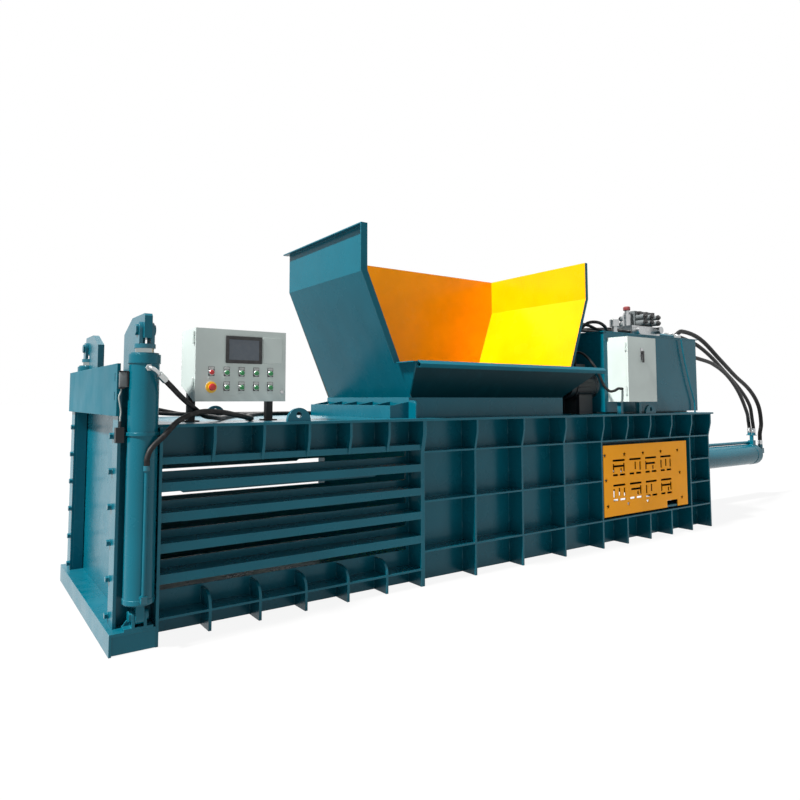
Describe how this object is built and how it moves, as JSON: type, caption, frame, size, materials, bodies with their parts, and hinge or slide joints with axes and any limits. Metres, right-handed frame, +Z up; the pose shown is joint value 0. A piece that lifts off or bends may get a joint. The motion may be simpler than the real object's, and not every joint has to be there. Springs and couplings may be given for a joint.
{
  "type": "recycling baler",
  "caption": "Horizontal recycling baler: ribbed channel with tying slots, lifting door on two cylinders, feed hopper, ram with main cylinder, oil tank and operator box.",
  "frame": {"origin": "underside of the first floor bearer, on the centre plane, at the back of the plates beside the discharge door", "axes": "+X along the channel from the door to the main cylinder, +Z up, -Y toward the side with the operator box"},
  "size_m": [7.867, 1.74, 2.37],
  "materials": {
    "teal_paint": "gloss",
    "orange_paint": "gloss",
    "yellow_paint": "gloss",
    "chromed_steel": "polished",
    "plated_steel": "satin",
    "blade_steel": "ground",
    "black_rubber": "matte",
    "black_paint": "satin",
    "black_plastic": "satin",
    "pale_paint": "satin",
    "red_plastic": "gloss",
    "green_plastic": "gloss"
  },
  "bodies": {
    "frame": {"side_wall_near": "teal_paint", "side_wall_far": "teal_paint", "tie_bars": "teal_paint", "floor_plate": "teal_paint", "top_plate": "teal_paint", "rear_plate": "teal_paint", "window_cover": "orange_paint", "sill_beam": "teal_paint", "door_posts": "teal_paint", "guide_strips": "teal_paint", "guard_plate": "teal_paint", "frame_bolts": "teal_paint", "lift_barrels": "teal_paint", "lift_feet": "teal_paint", "lift_hoses": "black_rubber", "limit_switch": "black_paint", "shear_blade": "blade_steel", "shear_beam": "teal_paint", "main_barrel": "teal_paint", "hopper_collar": "teal_paint", "hopper_left_wall": "teal_paint", "hopper_right_wall": "yellow_paint", "hopper_back_wall": "orange_paint", "front_lip": "teal_paint", "lifting_lugs": "teal_paint", "oil_tank": "teal_paint", "filler_cap": "plated_steel", "motor": "black_paint", "fan_cowl": "black_paint", "valve_block": "plated_steel", "solenoid_valves": "black_paint", "steel_pipes": "teal_paint", "main_hoses": "black_rubber", "console_case": "pale_paint", "console_legs": "black_paint", "cabinet_case": "pale_paint", "pump_block": "plated_steel", "hose_fittings": "plated_steel"},
    "door": {"door_panel": "teal_paint", "door_arms": "teal_paint", "lift_rods": "chromed_steel", "lift_pins": "teal_paint"},
    "ram": {"ram_block": "teal_paint", "ram_rod": "chromed_steel", "ram_knife": "blade_steel"},
    "fan": {"motor_fan": "black_plastic"},
    "console_door": {"console_door": "pale_paint", "touch_screen": "black_plastic"},
    "e_stop": {"e_stop": "red_plastic"},
    "cabinet_door": {"cabinet_door": "pale_paint"},
    "cabinet_handle": {"cabinet_handle": "black_plastic"},
    "button_1": {"button_1": "red_plastic"},
    "button_2": {"button_2": "green_plastic"},
    "button_3": {"button_3": "green_plastic"},
    "button_4": {"button_4": "green_plastic"},
    "button_5": {"button_5": "green_plastic"},
    "button_6": {"button_6": "green_plastic"},
    "button_7": {"button_7": "green_plastic"},
    "button_8": {"button_8": "green_plastic"},
    "button_9": {"button_9": "green_plastic"}
  },
  "joints": [
    {"name": "door_lift", "type": "slide", "parent": "frame", "child": "door", "axis": [0, 0, 1], "range_m": [0, 1.05]},
    {"name": "ram_push", "type": "slide", "parent": "frame", "child": "ram", "axis": [-1, 0, 0], "range_m": [0, 1.85]},
    {"name": "fan_spin", "type": "hinge", "parent": "frame", "child": "fan", "pos_m": [3.435, -0.44, 1.33], "axis": [1, 0, 0], "continuous": true},
    {"name": "console_door_hinge", "type": "hinge", "parent": "frame", "child": "console_door", "pos_m": [0.203, -0.58, 1.4], "axis": [0, 0, -1], "range_deg": [0, 95]},
    {"name": "cabinet_door_hinge", "type": "hinge", "parent": "frame", "child": "cabinet_door", "pos_m": [3.794, -0.78, 1.465], "axis": [0, 0, -1], "range_deg": [0, 110]},
    {"name": "cabinet_handle_turn", "type": "hinge", "parent": "cabinet_door", "child": "cabinet_handle", "pos_m": [3.995, -0.8, 1.608], "axis": [0, 1, 0], "range_deg": [0, 90]},
    {"name": "e_stop_push", "type": "slide", "parent": "console_door", "child": "e_stop", "axis": [0, 1, 0], "range_m": [0, 0.004], "stiffness_N_per_m": 1500, "springref_m": -0.002},
    {"name": "button_1_push", "type": "slide", "parent": "console_door", "child": "button_1", "axis": [0, 1, 0], "range_m": [0, 0.003], "stiffness_N_per_m": 600, "springref_m": -0.002},
    {"name": "button_2_push", "type": "slide", "parent": "console_door", "child": "button_2", "axis": [0, 1, 0], "range_m": [0, 0.003], "stiffness_N_per_m": 600, "springref_m": -0.002},
    {"name": "button_3_push", "type": "slide", "parent": "console_door", "child": "button_3", "axis": [0, 1, 0], "range_m": [0, 0.003], "stiffness_N_per_m": 600, "springref_m": -0.002},
    {"name": "button_4_push", "type": "slide", "parent": "console_door", "child": "button_4", "axis": [0, 1, 0], "range_m": [0, 0.003], "stiffness_N_per_m": 600, "springref_m": -0.002},
    {"name": "button_5_push", "type": "slide", "parent": "console_door", "child": "button_5", "axis": [0, 1, 0], "range_m": [0, 0.003], "stiffness_N_per_m": 600, "springref_m": -0.002},
    {"name": "button_6_push", "type": "slide", "parent": "console_door", "child": "button_6", "axis": [0, 1, 0], "range_m": [0, 0.003], "stiffness_N_per_m": 600, "springref_m": -0.002},
    {"name": "button_7_push", "type": "slide", "parent": "console_door", "child": "button_7", "axis": [0, 1, 0], "range_m": [0, 0.003], "stiffness_N_per_m": 600, "springref_m": -0.002},
    {"name": "button_8_push", "type": "slide", "parent": "console_door", "child": "button_8", "axis": [0, 1, 0], "range_m": [0, 0.003], "stiffness_N_per_m": 600, "springref_m": -0.002},
    {"name": "button_9_push", "type": "slide", "parent": "console_door", "child": "button_9", "axis": [0, 1, 0], "range_m": [0, 0.003], "stiffness_N_per_m": 600, "springref_m": -0.002}
  ]
}
